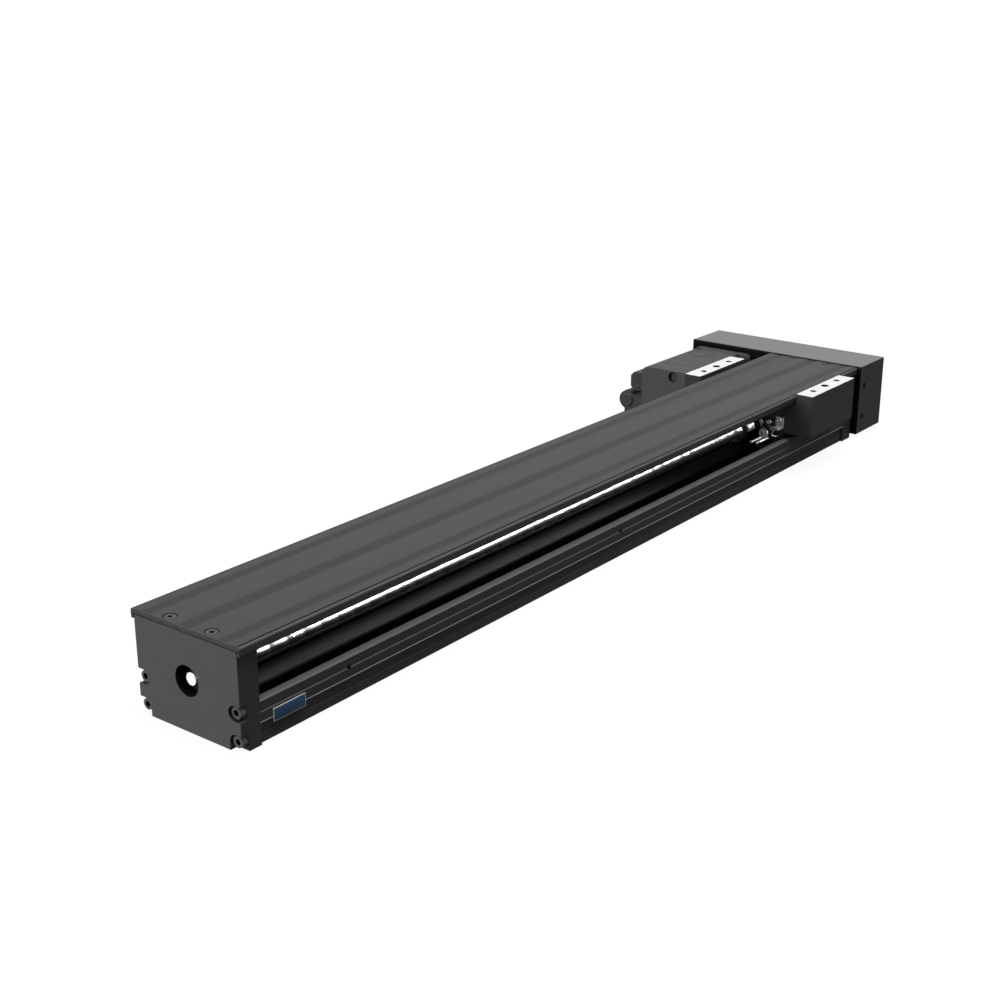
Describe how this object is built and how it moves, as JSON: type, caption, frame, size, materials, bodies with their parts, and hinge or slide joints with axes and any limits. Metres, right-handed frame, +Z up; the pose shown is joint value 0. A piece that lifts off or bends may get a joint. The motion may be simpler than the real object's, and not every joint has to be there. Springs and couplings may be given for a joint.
{
  "type": "ball screw linear module",
  "caption": "Covered ball screw linear module with twin guide rails, a carriage with raised ears each side of the cover, and a motor folded back beside it by a belt drive.",
  "frame": {"origin": "middle of the flat underside of the base extrusion", "axes": "+X along the base from the idle end to the drive end, +Y towards the motor, +Z up"},
  "size_m": [1.1074, 0.2868, 0.0945],
  "materials": {
    "black_anodised": "black anodised, fine matt grain",
    "carriage_anodised": "black anodised, ear tops machined bright",
    "grey_housing": "dark grey powder coat",
    "dark_screws": "black oxide",
    "ground_steel": "ground and polished",
    "bearing_steel": "turned and ground",
    "plain_aluminium": "machined",
    "motor_paint": "satin black paint",
    "black_plastic": "moulded, fine texture",
    "black_rubber": "matt",
    "zinc_steel": "bright zinc plate"
  },
  "bodies": {
    "base": {"base_extrusion": "black_anodised", "bearing_retainer": "bearing_steel", "belt_cover": "grey_housing", "belt_cover_screws": "dark_screws", "belt_plate": "black_anodised", "belt_plate_screws": "dark_screws", "bumpers_drive_end": "black_rubber", "bumpers_idle_end": "black_rubber", "cover_screws": "dark_screws", "drive_bearing_balls": "bearing_steel", "drive_bearing_outer_rings": "bearing_steel", "far_block_screws": "dark_screws", "far_end_block": "black_anodised", "guide_rail_left": "ground_steel", "guide_rail_right": "ground_steel", "idle_bearing_balls": "bearing_steel", "idle_bearing_outer_ring": "bearing_steel", "motor_body": "motor_paint", "motor_flange": "plain_aluminium", "motor_rear_cover": "motor_paint", "motor_screws": "dark_screws", "near_end_plate": "black_anodised", "near_plate_screws": "dark_screws", "power_connector": "black_plastic", "rail_screws_left": "dark_screws", "rail_screws_right": "dark_screws", "retainer_screws": "dark_screws", "signal_connector": "black_plastic", "timing_belt": "black_rubber", "top_cover": "black_anodised"},
    "carriage": {"ball_nut": "ground_steel", "bracket_screws": "dark_screws", "carriage_block": "carriage_anodised", "grease_fitting": "zinc_steel", "guide_block_drive_left": "ground_steel", "guide_block_drive_right": "ground_steel", "guide_block_idle_left": "ground_steel", "guide_block_idle_right": "ground_steel", "guide_block_screws": "dark_screws", "guide_caps_drive_left": "black_plastic", "guide_caps_drive_right": "black_plastic", "guide_caps_idle_left": "black_plastic", "guide_caps_idle_right": "black_plastic", "nut_screws": "dark_screws", "sensor_flag": "zinc_steel"},
    "screw": {"ball_screw": "ground_steel", "idle_bearing_inner_ring": "bearing_steel", "drive_bearing_inner_rings": "bearing_steel", "lock_nut": "bearing_steel", "screw_pulley": "plain_aluminium"},
    "motor_rotor": {"motor_shaft": "bearing_steel", "motor_pulley": "plain_aluminium"}
  },
  "joints": [
    {"name": "carriage_slide", "type": "slide", "parent": "base", "child": "carriage", "axis": [1, 0, 0], "range_m": [-0.785, 0.015]},
    {"name": "screw_spin", "type": "hinge", "parent": "base", "child": "screw", "pos_m": [0, 0, 0.0453], "axis": [1, 0, 0], "range_deg": [-300, 14160]},
    {"name": "motor_spin", "type": "hinge", "parent": "base", "child": "motor_rotor", "pos_m": [0.521, 0.1275, 0.0453], "axis": [1, 0, 0], "range_deg": [-300, 14160]}
  ],
  "couplings": [
    {"joint": "screw_spin", "follows": "carriage_slide", "rad_per_m": -314.16},
    {"joint": "motor_spin", "follows": "carriage_slide", "rad_per_m": -314.16}
  ]
}
